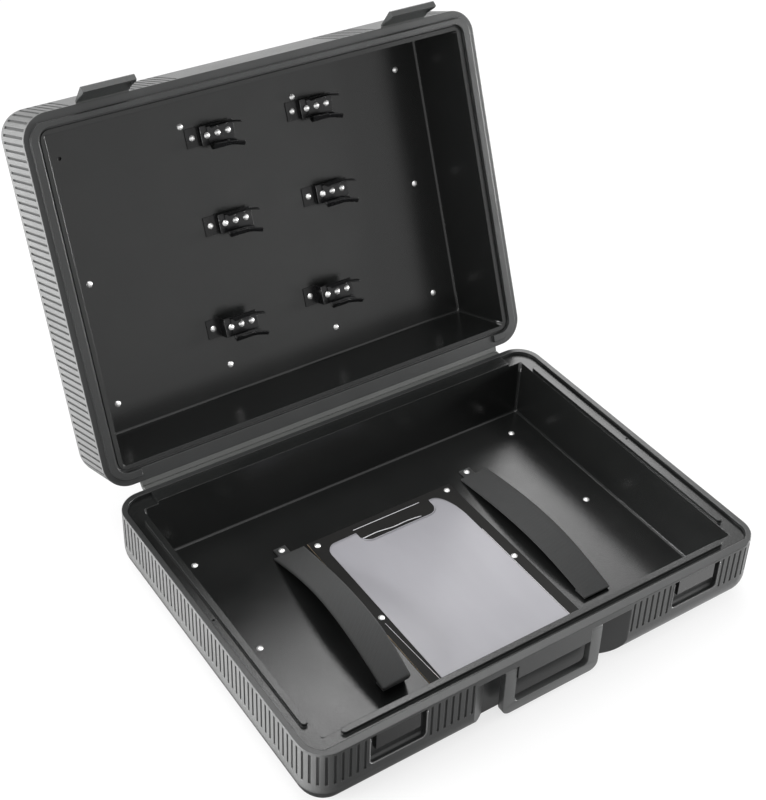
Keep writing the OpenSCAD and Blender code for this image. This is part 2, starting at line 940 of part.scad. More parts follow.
// spring clip: flat base and two arms that pinch and flare, seen along x
module spring(k) {
  c = clip_at[k];
  h = (c[2] == 0 ? step_low : step_high);
  q = arm_h;
  outer = [[8.6, 0], [10.4, q * 0.45], [8.2, q * 0.72], [11.6, q]];
  inner = [[10.6, q], [7, q * 0.72], [9.2, q * 0.45], [7.6, clip_t]];
  half = concat(outer, inner);
  back = [for (i = [len(half) - 1:-1:0]) [-half[i][0], half[i][1]]];
  color("#151616")
    opened()
      on_panel(c[0], c[1])
        translate([0, 0, h])
          difference() {
            translate([clip_plate - arm_l, 0, 0])
              rotate([90, 0, 90])
                linear_extrude(arm_l)
                  polygon(concat(half, back));
            for (j = [0, 1, 2])
              translate([clip_first + j * clip_rp, 0, 0])
                shank_hole(3);
            for (e = [-1, 1])
              translate([clip_plate - arm_l, e * 10, q])
                rotate([0, 45, 0])
                  cube([7, 8, 7], center = true);
            translate([clip_plate - arm_tip, -q, q - arm_cut])
              cube([arm_tip + 1, 2 * q, q]);
          }
}

module clip_rivets() {
  color("#d8d8d6")
    opened()
      for (c = clip_at) {
        h = (c[2] == 0 ? step_low : step_high);
        on_panel(c[0], c[1])
          translate([0, 0, clip_t])
            rivet(clip_t + sheet_t - 0.2);
        for (j = [0, 1, 2])
          on_panel(c[0] + clip_first + j * clip_rp, c[1])
            translate([0, 0, h + clip_t])
              rivet(2 * clip_t);
      }
}

base_shell();
base_tray();
base_tray_rivets();
hinge_leaf_base();
keeper(-1);  // keeper_left
keeper(1);  // keeper_right
pocket_backing();
pocket_front();
pocket_rivets();
strap_left();
strap_right();
strap_rivets();
handle_pins();
handle();
lid_shell();
lid_tray();
lid_tray_rivets();
hinge_leaf_lid();
flap_web(-1);  // flap_web_left
flap_web(1);  // flap_web_right
flap(-1);  // latch_left
flap(1);  // latch_right
bracket(0);  // clip_bracket_1
bracket(1);  // clip_bracket_2
bracket(2);  // clip_bracket_3
bracket(3);  // clip_bracket_4
bracket(4);  // clip_bracket_5
bracket(5);  // clip_bracket_6
spring(0);  // clip_spring_1
spring(1);  // clip_spring_2
spring(2);  // clip_spring_3
spring(3);  // clip_spring_4
spring(4);  // clip_spring_5
spring(5);  // clip_spring_6
clip_rivets();
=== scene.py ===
# %% [markdown]
# # A hard tool case, standing open
# Two moulded shells of black plastic meet on a living hinge. Each holds a formed inner tray, fixed
# with bright rivets. The base carries a document pocket and two holding straps, the lid carries six
# spring clips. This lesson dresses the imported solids: first the frame is loaded and measured.

import math

import bmesh
import bpy
import numpy as np
from mathutils import Matrix, Vector


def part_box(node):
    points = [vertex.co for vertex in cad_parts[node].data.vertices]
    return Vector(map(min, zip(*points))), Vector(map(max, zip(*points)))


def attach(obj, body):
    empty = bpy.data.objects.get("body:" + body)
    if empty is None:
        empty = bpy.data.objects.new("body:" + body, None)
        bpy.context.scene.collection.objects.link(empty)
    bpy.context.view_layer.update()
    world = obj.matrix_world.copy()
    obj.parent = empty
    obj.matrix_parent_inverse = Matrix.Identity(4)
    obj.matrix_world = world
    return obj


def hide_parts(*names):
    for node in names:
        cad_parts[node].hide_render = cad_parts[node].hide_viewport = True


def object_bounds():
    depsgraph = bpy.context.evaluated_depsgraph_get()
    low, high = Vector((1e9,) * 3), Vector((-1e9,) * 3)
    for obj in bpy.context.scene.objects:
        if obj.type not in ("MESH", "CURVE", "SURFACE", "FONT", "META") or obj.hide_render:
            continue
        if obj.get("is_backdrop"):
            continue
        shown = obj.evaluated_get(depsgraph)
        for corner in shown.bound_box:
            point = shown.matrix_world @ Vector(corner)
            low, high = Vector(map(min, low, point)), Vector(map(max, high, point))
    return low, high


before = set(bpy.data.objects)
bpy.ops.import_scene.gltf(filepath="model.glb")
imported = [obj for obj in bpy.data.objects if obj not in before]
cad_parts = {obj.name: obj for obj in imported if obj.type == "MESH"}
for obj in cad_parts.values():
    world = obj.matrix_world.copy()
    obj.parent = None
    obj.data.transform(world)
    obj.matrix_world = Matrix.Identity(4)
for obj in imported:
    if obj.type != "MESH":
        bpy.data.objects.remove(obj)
cad_low, cad_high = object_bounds()
print("solids:", len(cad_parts), "box:", [round(x, 4) for x in (*cad_low, *cad_high)])

# %% [markdown]
# ## The studio
# The case stands on a plain white floor. The camera looks down from the front left: its place is
# given as a point and its direction as three angles, and the matrix is put together from three unit
# vectors.

# %% Camera
def in_scene(name, data):
    """A new object that holds this mesh, lamp or camera, linked into the scene."""
    made = bpy.data.objects.new(name, data)
    bpy.context.scene.collection.objects.link(made)
    return made


camera_place = (-0.6722, -0.8690, 1.0630)
turn, tilt, roll = (math.radians(a) for a in (-34.734, 34.373, 2.003))
back = Vector((math.sin(turn) * math.cos(tilt), -math.cos(turn) * math.cos(tilt), math.sin(tilt)))
level = Vector((math.cos(turn), math.sin(turn), 0))
upward = back.cross(level)
right = level * math.cos(roll) + upward * math.sin(roll)
above = upward * math.cos(roll) - level * math.sin(roll)

lens = bpy.data.cameras.new("studio camera")
lens.lens, lens.sensor_width = 69.19, 36
lens.shift_x, lens.shift_y = -0.0005, -0.1154
camera = in_scene("studio camera", lens)
axes = Matrix((right, above, back)).transposed()
camera.matrix_world = Matrix.Translation(camera_place) @ axes.to_4x4()
bpy.context.scene.camera = camera
bpy.context.scene.view_settings.view_transform = "Standard"
print("camera at", [round(x, 3) for x in camera.location])

# %% [markdown]
# A node material is a small graph. It could be drawn by hand in the node editor; written out, it can
# be read and repeated. One helper adds a node and sets it by socket name, so that each finish below
# reads as a list of what feeds what.

# %% Helpers for node graphs
def feed(tree, socket, value):
    """Fills a socket: another node's output is linked to it, a plain value is written into it."""
    if isinstance(value, bpy.types.NodeSocket):
        tree.links.new(value, socket)
    else:
        socket.default_value = value


def add(tree, kind, settings=None, **inputs):
    """A new node of this kind. settings are its own fields, inputs are its sockets, by name with
    underscores or as s0, s1 and so on by number: a link or a value."""
    made = tree.nodes.new("ShaderNode" + kind)
    for field, value in (settings or {}).items():
        setattr(made, field, value)
    for name, value in inputs.items():
        by_number = name[1:].isdigit()
        feed(tree, made.inputs[int(name[1:]) if by_number else name.replace("_", " ")], value)
    return made


def maths(tree, operation, *values, **settings):
    """Output of one arithmetic node, such as MAXIMUM or MULTIPLY, over these values."""
    sockets = {f"s{k}": value for k, value in enumerate(values)}
    return add(tree, "Math", {"operation": operation, **settings}, **sockets).outputs[0]


def vector_maths(tree, operation, *values):
    """The same for vectors. A LENGTH is a number, every other result is a vector."""
    sockets = {f"s{k}": value for k, value in enumerate(values)}
    made = add(tree, "VectorMath", {"operation": operation}, **sockets)
    return made.outputs["Value" if operation == "LENGTH" else "Vector"]


def new_finish(name, colour=(0.05, 0.05, 0.05), **sockets):
    """A material with its Principled shader; sockets are plain numbers, written with underscores."""
    made = bpy.data.materials.new(name)
    made.use_nodes = True
    shader = made.node_tree.nodes["Principled BSDF"]
    shader.inputs["Base Color"].default_value = (*colour, 1)
    for socket, value in sockets.items():
        shader.inputs[socket.replace("_", " ")].default_value = value
    return made, made.node_tree, shader


def mix_colours(tree, share, first, second):
    """Colour that runs from first to second as share runs from 0 to 1."""
    blend = add(tree, "Mix", {"data_type": "RGBA"}, s0=share)
    for socket, value in ((blend.inputs[6], first), (blend.inputs[7], second)):
        feed(tree, socket, value if isinstance(value, bpy.types.NodeSocket) else (*value, 1))
    return blend.outputs[2]


def noise(tree, where, scale, detail=2.0, rough=0.5):
    """Cloudy pattern of about 1/scale metres, from 0 to 1."""
    return add(
        tree,
        "TexNoise",
        {"noise_dimensions": "3D"},
        Vector=where,
        Scale=scale,
        Detail=detail,
        Roughness=rough,
    ).outputs["Fac"]


def between(tree, value, low, high, out_low=0.0, out_high=1.0):
    """value stretched so that low gives out_low and high gives out_high, held inside."""
    sockets = dict(s0=value, s1=low, s2=high, s3=out_low, s4=out_high)
    return add(tree, "MapRange", {"clamp": True}, **sockets).outputs[0]


print("helpers ready")

# %% [markdown]
# The floor is white where the camera sees it and keeps the soft shadow of the case. Glossy rays see
# the same white beside the case and less of it in front on the left, where the case keeps the light
# away, so that the satin plastic mirrors a room that is lit from the back and the right. All of this
# hangs on the kind of ray, so the floor throws no more light on the case than white paint would.

# %% Floor
pure_white = (1, 1, 1, 1)
floor_half, floor_drop = 4, 0.0002
shade_left, shade_right, shade_level = -0.3, 0.2, 0.06
gap_left, gap_right = -0.27, -0.256
shadow_near, shadow_far, shadow_level = 0.8, 2.2, 0.72

floor_mesh = bpy.data.meshes.new("floor")
around = ((-1, -1), (1, -1), (1, 1), (-1, 1))
floor_corners = [(x * floor_half, y * floor_half, -floor_drop) for x, y in around]
floor_mesh.from_pydata(floor_corners, [], [(0, 1, 2, 3)])
floor = in_scene("floor", floor_mesh)
white, tree, shader = new_finish("floor_white", (0.9, 0.9, 0.9), Roughness=0.9)
ray = add(tree, "LightPath")
camera_ray, glossy_ray = ray.outputs["Is Camera Ray"], ray.outputs["Is Glossy Ray"]
spot = add(tree, "TexCoord").outputs["Object"]
spot_x = add(tree, "SeparateXYZ", Vector=spot).outputs[0]
from_right = between(tree, spot_x, shade_left, shade_right, shade_level, 1.0)
past_left = between(tree, spot_x, gap_left, gap_right, 1.0, 0.0)
side_light = maths(tree, "MAXIMUM", from_right, past_left)
distance = vector_maths(tree, "LENGTH", spot)
far_off = between(tree, distance, shadow_near, shadow_far, shadow_level, 1.0)
seen = maths(tree, "MAXIMUM", maths(tree, "MULTIPLY", camera_ray, far_off), glossy_ray)
level_seen = add(tree, "Mix", {"data_type": "FLOAT"}, s0=glossy_ray, s2=1.0, s3=side_light)
glow = add(tree, "Emission", Color=pure_white, Strength=level_seen.outputs[0])
both = add(tree, "MixShader", s0=seen, s1=shader.outputs[0], s2=glow.outputs[0])
tree.links.new(both.outputs[0], tree.nodes["Material Output"].inputs["Surface"])
floor.data.materials.append(white)
floor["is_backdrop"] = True
print("floor", 2 * floor_half, "m wide")

# %% [markdown]
# The world is the room around the floor. The camera and mirroring surfaces see it pure white, while
# it lights the case at about half that level, so that the black plastic keeps its contrast.

# %% World
room_light = 0.55

world = bpy.data.worlds.new("white room")
bpy.context.scene.world = world
world.use_nodes = True
tree = world.node_tree
ray = add(tree, "LightPath")
seen = maths(tree, "MAXIMUM", ray.outputs["Is Camera Ray"], ray.outputs["Is Glossy Ray"])
level_seen = add(tree, "MapRange", s0=seen, s3=room_light, s4=1.0)
room = tree.nodes["Background"]
room.inputs["Color"].default_value = pure_white
tree.links.new(level_seen.outputs[0], room.inputs["Strength"])
print("room light", room_light)

# %% [markdown]
# Five soft lamps model the case. Area lamps are used, because a sun or a spot would draw hard
# shadows on the satin plastic. The left one brings out the ribs of the side wall, the front one
# grazes the handle, and the rear and upper ones give the tray floor its sheen. None stands where the
# flat lid panel would mirror it as a bright patch.

# %% Lamps
def softbox(name, place, target, width, height, power):
    """A rectangular soft lamp at place that faces target; power is in watts."""
    data = bpy.data.lights.new(name, "AREA")
    data.shape, data.size, data.size_y, data.energy = "RECTANGLE", width, height, power
    lamp = in_scene(name, data)
    way = Vector(target) - Vector(place)
    lamp.matrix_world = Matrix.Translation(place) @ way.to_track_quat("-Z", "Y").to_matrix().to_4x4()
    return lamp


softbox("top softbox", (-0.3, 0.2, 2.2), (0, 0, 0), 1.6, 1.6, 22)
softbox("left softbox", (-1.7, 0.5, 0.45), (0, 0.1, 0.15), 1.2, 0.7, 55)
softbox("front softbox", (1.7, -0.5, 0.3), (0.2, -0.1, 0.05), 0.7, 0.4, 46)
softbox("rear softbox", (1.15, 1.25, 1.15), (0.15, 0, 0), 0.9, 0.7, 8)
softbox("upper softbox", (0.50, 0.88, 1.40), (-0.17, -0.12, 0), 0.38, 0.38, 2.9)

# %% [markdown]
# ## Finishes
# The shells are blow-moulded black plastic. Their skin has a fine leathery grain from the mould. It
# is far too fine for the mesh, so a bump gives it. The same bump can start from a Bevel node, which
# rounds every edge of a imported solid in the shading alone.

# %% Moulded grain
def grain(tree, shader, where, size, depth, strength, edge=0.0):
    """Bump of moulded grain with cells of about `size` metres and a height of `depth` metres.
    With an edge radius the shading also rounds every edge of the piece by that many metres."""
    finer, cell_share = 2.4, 0.7
    smooth_cells = {"feature": "SMOOTH_F1"}
    cells = add(tree, "TexVoronoi", smooth_cells, Vector=where, Scale=1 / size, Smoothness=0.6)
    fine = noise(tree, where, finer / size, 3)
    height = maths(tree, "MULTIPLY_ADD", cells.outputs["Distance"], cell_share, fine)
    bump = add(tree, "Bump", Height=height, Strength=strength, Distance=depth)
    if edge:
        rounded = add(tree, "Bevel", {"samples": 6}, Radius=edge)
        tree.links.new(rounded.outputs[0], bump.inputs["Normal"])
    tree.links.new(bump.outputs[0], shader.inputs["Normal"])


print("grain ready")

# %% [markdown]
# The ridges of a case rub against shelves and other cases, and there the black skin turns a little
# paler. The same paler skin is also a painted sheen: it stands for the light that the outer walls
# catch, most on the sides and least at the front and back. Where it goes could be painted by hand. A
# formula is kept to the ridges more easily: it asks how far a spot lies from the straight middle of
# the case.

# %% Rubbed ridges with painted sheen
# tone of the paler ridge skin: wear together with a painted sheen of the lit walls
sheen_and_wear_tone = (0.13, 0.131, 0.13)
case_w, case_d, corner_r = 0.500, 0.368, 0.026
hinge = Vector((0, 0.1892, 0.070))
opened = math.radians(111)
no_sheen_depth, full_sheen_depth = 0.0007, 0.0002
front_sheen_share = 0.13


def sheen_and_wear_skin(tree, where):
    """Share of paler skin, rubbed wear and painted sheen together: 1 on the outermost skin of the walls,
    0 in the grooves and inside. The distance to the walls is that of a rounded rectangle: with
    q = (|x| - w, |y| - d) outside the straight part, it is the length of max(q, 0). The sides get the
    most painted sheen, the front and back the least."""
    positive = vector_maths(tree, "ABSOLUTE", vector_maths(tree, "MULTIPLY", where, (1, 1, 0)))
    straight = (case_w / 2 - corner_r, case_d / 2 - corner_r, 0)
    beyond = vector_maths(tree, "SUBTRACT", positive, straight)
    held = vector_maths(tree, "MAXIMUM", beyond, (0, 0, 0))
    far = vector_maths(tree, "LENGTH", held)
    outermost = between(tree, far, corner_r - no_sheen_depth, corner_r - full_sheen_depth)
    sideways = add(tree, "SeparateXYZ", Vector=held).outputs[0]
    side = between(tree, sideways, 0.0, corner_r, front_sheen_share, 1.0)
    patchy = between(tree, noise(tree, where, 9, 4), 0.25, 0.6, 0.65, 1.0)
    return maths(tree, "MULTIPLY", maths(tree, "MULTIPLY", outermost, patchy), side)


def sheen_and_wear_lid(tree, where):
    """The same share for the open lid, which is first turned back to its closed place."""
    about_x = {"rotation_type": "X_AXIS"}
    closed = add(tree, "VectorRotate", about_x, Vector=where, Center=tuple(hinge), Angle=opened)
    return sheen_and_wear_skin(tree, closed.outputs[0])


print("the lid stands open by", round(math.degrees(opened)), "degrees")

# %% [markdown]
# Moulded plastic is never one flat tone. Its colour drifts between a dark and a pale value in soft
# clouds, fine scuffs catch the light, and its gloss drifts along with the clouds. One function makes
# all the plastics of the case from their two tones, their gloss and the size of their grain.

# %% Plastics
def moulded_finish(name, dark, pale, rough, grain_size, scuff=0.5, edge=0.0, sheen_and_wear=None, **sockets):
    """Satin moulded plastic: cloudy tone between two colours, fine grain, faint scuffs that catch light.
    The function given for the paler skin takes the tree and the place and gives its share: rubbed
    wear and painted sheen together."""
    made, tree, shader = new_finish(name, dark, **sockets)
    where = add(tree, "TexCoord").outputs["Object"]
    cloud = noise(tree, where, 14, 5, 0.6)
    stretched = add(tree, "Mapping", Vector=where, Rotation=(0.3, 0.5, 0.8), Scale=(40, 900, 700))
    scratches = noise(tree, stretched.outputs[0], 1.0, 3, 0.55)
    marks = between(tree, scratches, 0.60, 0.85, 0, scuff)
    tone = maths(tree, "MULTIPLY_ADD", marks, 0.5, cloud, use_clamp=True)
    skin = mix_colours(tree, tone, dark, pale)
    # paler skin on the ridges: rubbed wear and a painted sheen, most on the sides
    if sheen_and_wear:
        skin = mix_colours(tree, sheen_and_wear(tree, where), skin, sheen_and_wear_tone)
    tree.links.new(skin, shader.inputs["Base Color"])
    gloss_drift, scuff_gloss = 0.03, 0.08
    drift = between(tree, cloud, 0.3, 0.7, rough - gloss_drift, rough + gloss_drift)
    satin = maths(tree, "MULTIPLY_ADD", marks, scuff_gloss, drift)
    tree.links.new(satin, shader.inputs["Roughness"])
    grain(tree, shader, where, grain_size, depth=0.00012, strength=0.5, edge=edge)
    return made


black, dark_grey = (0.012, 0.0125, 0.0125), (0.024, 0.025, 0.025)
shell_look = dict(rough=0.32, grain_size=0.0011, edge=0.0012, Specular_IOR_Level=0.55)
shell_plastic = moulded_finish("shell_plastic", black, dark_grey, sheen_and_wear=sheen_and_wear_skin, **shell_look)
lid_plastic = moulded_finish("lid_plastic", black, dark_grey, sheen_and_wear=sheen_and_wear_lid, **shell_look)
tray_plastic = moulded_finish(
    "tray_plastic",
    dark=(0.0065, 0.007, 0.007),
    pale=(0.011, 0.0115, 0.011),
    rough=0.21,
    grain_size=0.0016,
    scuff=0.12,
    edge=0.0008,
)
# the handle is paler than the shells' black plastic: a painted sheen of the light on its front
handle_plastic = moulded_finish(
    "handle_plastic",
    dark=(0.046, 0.047, 0.047),
    pale=(0.070, 0.072, 0.071),
    rough=0.32,
    grain_size=0.0012,
    edge=0.0008,
    Specular_IOR_Level=1.0,
)
latch_plastic = moulded_finish(
    "latch_plastic",
    dark=(0.020, 0.021, 0.021),
    pale=(0.036, 0.038, 0.037),
    rough=0.32,
    grain_size=0.0012,
    edge=0.0008,
    Specular_IOR_Level=0.6,
)
keeper_plastic = moulded_finish(
    "keeper_plastic",
    dark=(0.005, 0.005, 0.005),
    pale=(0.010, 0.010, 0.010),
    rough=0.14,
    grain_size=0.0014,
    edge=0.0006,
    Specular_IOR_Level=0.9,
)
# pale plastic of the notch lips and clip bends: a painted highlight, not the shells' own tone
painted_highlight_plastic = moulded_finish(
    "painted_highlight_plastic", dark=(0.11, 0.11, 0.11), pale=(0.17, 0.17, 0.17), rough=0.12, grain_size=0.0014
)
# paler plastic of the hinge leaves and flap webs: a painted highlight along their creases
hinge_highlight_plastic = moulded_finish(
    "hinge_highlight_plastic",
    dark=(0.055, 0.057, 0.055),
    pale=(0.085, 0.087, 0.084),
    rough=0.36,
    grain_size=0.0014,
    edge=0.0006,
)
print("plastics:", [m.name for m in bpy.data.materials if m.name.endswith("_plastic")])

# %% [markdown]
# The rivets are bright aluminium and the pins are plain steel, both a little dull in patches. The
# clips are spring steel with a black oxide coat, which wears through in small spots.

# %% Metals
def metal_finish(name, dull, bright, rough, cloud_size, metallic=1.0):
    """Bare metal whose tone and gloss vary over patches of cloud_size metres."""
    made, tree, shader = new_finish(name, bright, Metallic=metallic)
    where = add(tree, "TexCoord").outputs["Object"]
    cloud = noise(tree, where, 1 / cloud_size, 4)
    tone = mix_colours(tree, between(tree, cloud, 0.35, 0.65), dull, bright)
    tree.links.new(tone, shader.inputs["Base Color"])
    satin = between(tree, cloud, 0.3, 0.7, rough + 0.08, rough - 0.05)
    tree.links.new(satin, shader.inputs["Roughness"])
    grain(tree, shader, where, size=0.0006, depth=0.00003, strength=0.4)
    return made


rivet_metal = metal_finish(
    "rivet_metal",
    dull=(0.90, 0.90, 0.89),
    bright=(0.98, 0.98, 0.97),
    rough=0.24,
    cloud_size=0.002,
    metallic=0.6,
)
pin_steel = metal_finish(
    "pin_steel", dull=(0.42, 0.42, 0.41), bright=(0.58, 0.58, 0.57), rough=0.3, cloud_size=0.003
)

oxide, bare_steel = (0.007, 0.007, 0.0075), (0.05, 0.047, 0.043)
clip_metal, tree, shader = new_finish("clip_metal", oxide, Specular_IOR_Level=0.35)
where = add(tree, "TexCoord").outputs["Object"]
spots = between(tree, noise(tree, where, 420, 4, 0.65), 0.66, 0.76)
tree.links.new(mix_colours(tree, spots, oxide, bare_steel), shader.inputs["Base Color"])
satin = between(tree, noise(tree, where, 60, 3), 0.3, 0.7, 0.20, 0.32)
tree.links.new(satin, shader.inputs["Roughness"])
grain(tree, shader, where, size=0.0007, depth=0.00004, strength=0.35, edge=0.0003)
print("metals ready")

# %% [markdown]
# The straps are woven webbing. Their weave follows the strap, so it reads the strap's own UV map,
# which is laid out in metres: across the strap and along it. A weave is the product of two waves:
# one runs across the threads, and the other turns it over at every second row.

# %% Webbing
thread = 0.0013
strap_webbing, tree, shader = new_finish(
    "strap_webbing",
    Roughness=0.85,
    Specular_IOR_Level=0.25,
    Sheen_Weight=0.1,
    Sheen_Roughness=0.5,
)
way = add(tree, "UVMap", {"uv_map": "strap"}).outputs[0]
split = add(tree, "SeparateXYZ", Vector=way)
across = maths(tree, "SINE", maths(tree, "MULTIPLY", split.outputs[0], 2 * math.pi / thread))
along = maths(tree, "SINE", maths(tree, "MULTIPLY", split.outputs[1], math.pi / thread))
weave = maths(tree, "MULTIPLY", across, along)
fuzz = noise(tree, add(tree, "TexCoord").outputs["Object"], 2600, 3)
height = maths(tree, "MULTIPLY_ADD", fuzz, 0.6, weave)
bump = add(tree, "Bump", Height=height, Strength=0.55, Distance=0.0003)
tree.links.new(bump.outputs[0], shader.inputs["Normal"])
tone = between(tree, height, -0.6, 1.3)
yarn = mix_colours(tree, tone, (0.023, 0.0235, 0.0235), (0.054, 0.055, 0.055))
tree.links.new(yarn, shader.inputs["Base Color"])
print("webbing with threads of", 1000 * thread, "mm")

# %% [markdown]
# The pocket is a fibre board under a vinyl sheet, whose pale grey colour is a painted reflection of
# the bright room. The board has a dark skin, and its sawn edges show the bare tan fibre, so the
# finish asks each face which way it looks. The sheet is not quite flat, and its waves are so wide and
# shallow that a bump shows them well enough.

# %% Pocket film and board
pocket_film, tree, shader = new_finish(
    "pocket_film", Roughness=0.22, Alpha=0.9, Specular_IOR_Level=0.3
)
where = add(tree, "TexCoord").outputs["Object"]
waves = noise(tree, where, 16, 2)
reflection_drift = noise(tree, add(tree, "Mapping", Vector=where, Scale=(9, 3, 1)).outputs[0], 3, 3)
bump = add(tree, "Bump", Height=waves, Strength=0.25, Distance=0.002)
tree.links.new(bump.outputs[0], shader.inputs["Normal"])
# the sheet's pale grey is a painted reflection of the bright room
painted_reflection_grey = mix_colours(tree, reflection_drift, (0.355, 0.35, 0.375), (0.41, 0.405, 0.435))
tree.links.new(painted_reflection_grey, shader.inputs["Base Color"])

# pale beads along the welds and the inner sheet: a painted highlight on their edges
film_edge_highlight, tree, shader = new_finish("film_edge_highlight", Roughness=0.15)
pale = noise(tree, add(tree, "TexCoord").outputs["Object"], 260, 3)
painted_edge_highlight = mix_colours(tree, pale, (0.62, 0.61, 0.64), (0.9, 0.89, 0.92))
tree.links.new(painted_edge_highlight, shader.inputs["Base Color"])

pocket_board, tree, shader = new_finish("pocket_board", Roughness=0.6, Specular_IOR_Level=0.15)
where = add(tree, "TexCoord").outputs["Object"]
facing = add(tree, "SeparateXYZ", Vector=add(tree, "NewGeometry").outputs["Normal"])
sawn = maths(tree, "LESS_THAN", maths(tree, "ABSOLUTE", facing.outputs[2]), 0.5)
fibres = mix_colours(tree, noise(tree, where, 700, 4), (0.45, 0.34, 0.22), (0.85, 0.68, 0.48))
skin = mix_colours(tree, noise(tree, where, 30, 4), (0.009, 0.009, 0.0085), (0.016, 0.0155, 0.015))
tree.links.new(mix_colours(tree, sawn, skin, fibres), shader.inputs["Base Color"])
grain(tree, shader, where, size=0.0012, depth=0.00008, strength=0.3)
print("finishes:", len(bpy.data.materials))

# %% [markdown]
# ## Moulded parts
# The shells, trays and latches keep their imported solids, whose edges the finishes round in the
# shading. Only the handle is close enough to the eye to need a real radius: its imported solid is
# copied, the duplicate corners are merged and a Bevel modifier rounds its long edges.

# %% Handle with rounded edges
handle_radius, handle_segments, sharp_turn = 0.0024, 3, 34
same_spot, flat_turn = 2e-6, 0.4

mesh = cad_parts["handle"].data.copy()
work = bmesh.new()
work.from_mesh(mesh)
bmesh.ops.remove_doubles(work, verts=work.verts, dist=same_spot)
flat_angle = math.radians(flat_turn)
bmesh.ops.dissolve_limit(work, angle_limit=flat_angle, verts=work.verts, edges=work.edges)
work.to_mesh(mesh)
work.free()
mesh.materials.clear()
mesh.materials.append(handle_plastic)
mesh.polygons.foreach_set("use_smooth", np.ones(len(mesh.polygons), bool))
handle = in_scene("handle_moulded", mesh)
edge = handle.modifiers.new("edge radius", "BEVEL")
edge.width, edge.segments = handle_radius, handle_segments
edge.limit_method, edge.angle_limit = "ANGLE", math.radians(sharp_turn)
edge.use_clamp_overlap, edge.harden_normals = True, True
edge.miter_outer = "MITER_ARC"
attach(handle, "handle")
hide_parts("handle")
print(handle.name, len(mesh.vertices), "corners")

# %% [markdown]
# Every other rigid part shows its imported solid. Such a solid needs no new mesh: it only gets its
# finish, and it keeps its name, its place and the body that it rides on.

# %% Parts kept as packed
clips = range(1, 7)
trays, shell_rivets = ["base_tray", "lid_tray"], ["base_tray_rivets", "lid_tray_rivets"]
creases = ["hinge_leaf_base", "hinge_leaf_lid", "flap_web_left", "flap_web_right"]
kept = [
    (rivet_metal, [*shell_rivets, "pocket_rivets", "strap_rivets", "clip_rivets"]),
    (pin_steel, ["handle_pins"]),
    (clip_metal, [f"clip_bracket_{k}" for k in clips]),
    (shell_plastic, ["base_shell"]),
    (lid_plastic, ["lid_shell"]),
    (keeper_plastic, ["keeper_left", "keeper_right"]),
    (tray_plastic, trays),
    (latch_plastic, ["latch_left", "latch_right"]),
    (hinge_highlight_plastic, creases),
    (pocket_board, ["pocket_backing"]),
]
for finish, nodes in kept:
    for node in nodes:
        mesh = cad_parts[node].data
        mesh.materials.clear()
        mesh.materials.append(finish)
print("nodes with a finish:", sum(len(nodes) for _, nodes in kept))

# %% [markdown]
# ## New pieces as surfaces
# What is left are the thin and soft things. Each is a surface of two numbers, u and v: a formula
# gives a point for every pair, and numpy works out the whole grid at once. The next helper turns
# such a grid into a mesh. Modelling by hand would do as well, but it would follow no measure.

# %% Mesh from a grid of points
def grid_mesh(name, points, finish, uv=None, closed_u=False):
    """A mesh from an (n, m, 3) array of points: one quad between each four neighbours. With closed_u
    the last row is joined to the first. uv holds two numbers for each point."""
    rows, cols = points.shape[:2]
    index = np.arange(rows * cols).reshape(rows, cols)
    if closed_u:
        index = np.concatenate([index, index[:1]])
    quads = np.stack([index[:-1, :-1], index[1:, :-1], index[1:, 1:], index[:-1, 1:]], -1).reshape(-1, 4)
    mesh = bpy.data.meshes.new(name)
    mesh.vertices.add(rows * cols)
    mesh.vertices.foreach_set("co", points.reshape(-1).astype(np.float32))
    mesh.loops.add(quads.size)
    mesh.loops.foreach_set("vertex_index", quads.reshape(-1).astype(np.int32))
    mesh.polygons.add(len(quads))
    mesh.polygons.foreach_set("loop_start", np.arange(0, quads.size, 4, dtype=np.int32))
    mesh.polygons.foreach_set("use_smooth", np.ones(len(quads), bool))
    mesh.update(calc_edges=True)
    if uv is not None:
        layer = mesh.uv_layers.new(name="strap")
        of_corners = uv.reshape(-1, 2)[quads.reshape(-1)]
        layer.data.foreach_set("uv", of_corners.reshape(-1).astype(np.float32))
    mesh.materials.append(finish)
    mesh.validate()
    return in_scene(name, mesh)


print("grid helper ready")

# %% [markdown]
# ## Holding straps
# Each strap is a band of webbing. A narrow tab at its back end lies under a rivet, the band arches
# over the tray floor, and in front it folds under itself to a second, hidden tab. A cloth simulation
# could let it hang, but its shape would come out a little different each time. Here u runs across
# the band, from its left edge to its right edge, and v runs along it. The two edges peak at
# different places, which gives the slight twist of a real strap.

# %% Line of a strap's edge
tab_width, tab_inset, tab_length, tab_rows = 0.013, 0.0057, 0.0112, 5
arch_rows, fold_rows, under_rows = 121, 15, 6
band_gauge, band_crown, lay_height = 0.0018, 0.0028, 0.001
fold_inset, fold_bulge, fold_slope = (0.007, 0.001), 0.0011, 0.009
full_fold = 0.01
under_start, under_end = 0.002, 0.010
sway = 0.02


def edge_height(t, top, crest, front):
    """Height along one edge: a quarter sine wave up to `top` at share `crest` of the length, then a
    quarter cosine wave down to `front` at the end."""
    up = top * np.sin(np.pi / 2 * t / crest)
    down = front + (top - front) * np.cos(np.pi / 2 * (t - crest) / (1 - crest))
    return np.where(t < crest, up, down)


def line(*xyz):
    """Points from three arrays or numbers, x, y and z, spread to the same length."""
    return np.stack(np.broadcast_arrays(*xyz), -1)


